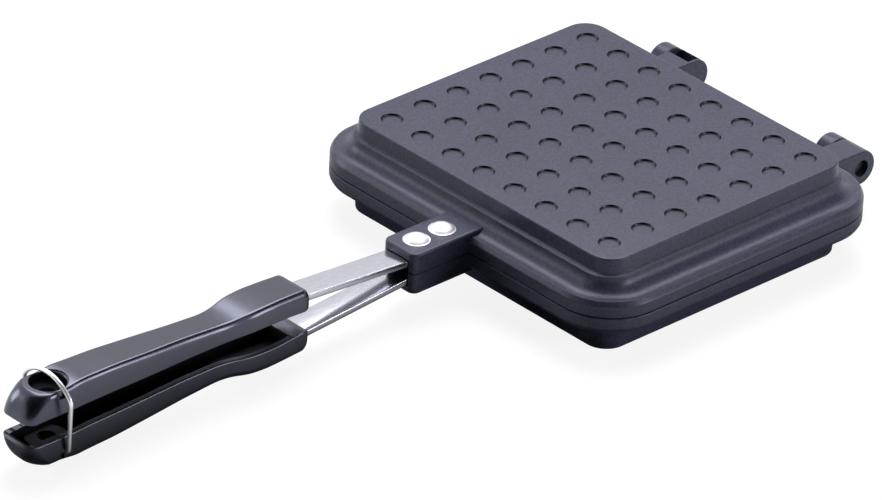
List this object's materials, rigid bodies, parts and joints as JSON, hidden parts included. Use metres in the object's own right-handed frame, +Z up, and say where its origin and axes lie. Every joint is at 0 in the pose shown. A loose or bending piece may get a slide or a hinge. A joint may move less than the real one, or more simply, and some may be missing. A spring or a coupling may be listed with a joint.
{
  "type": "stovetop sandwich maker",
  "caption": "Stovetop sandwich maker: two hinged dimpled pan halves with long riveted grips and a wire latch that holds them shut.",
  "frame": {"origin": "centre of the flat cooking base, on the worktop or hob", "axes": "+Z up, +X along the handles from the grips towards the hinges, +Y across the pan"},
  "size_m": [0.3466, 0.15, 0.0357],
  "materials": {
    "coated_casting": "satin dark grey non-stick coating on cast aluminium",
    "strap_steel": "bright rolled stainless steel",
    "pin_steel": "plain steel",
    "rivet_metal": "bright aluminium",
    "grip_plastic": "glossy black heat-resistant phenolic moulding",
    "wire_steel": "bright wire"
  },
  "bodies": {
    "base": {"lower_pan": "coated_casting", "hinge_pin_left": "pin_steel", "hinge_pin_right": "pin_steel", "lower_strap": "strap_steel", "lower_rivet_outer": "rivet_metal", "lower_rivet_inner": "rivet_metal", "lower_grip": "grip_plastic"},
    "lid": {"upper_pan": "coated_casting", "upper_strap": "strap_steel", "upper_rivet_outer": "rivet_metal", "upper_rivet_inner": "rivet_metal", "upper_grip": "grip_plastic"},
    "latch": {"latch_wire": "wire_steel"}
  },
  "joints": [
    {"name": "lid_hinge", "type": "hinge", "parent": "base", "child": "lid", "pos_m": [0.0788, 0, 0.0175], "axis": [0, 1, 0], "range_deg": [0, 180]},
    {"name": "latch_swing", "type": "hinge", "parent": "base", "child": "latch", "pos_m": [-0.2451, 0, 0.0072], "axis": [0, -1, 0], "range_deg": [0, 95]}
  ]
}
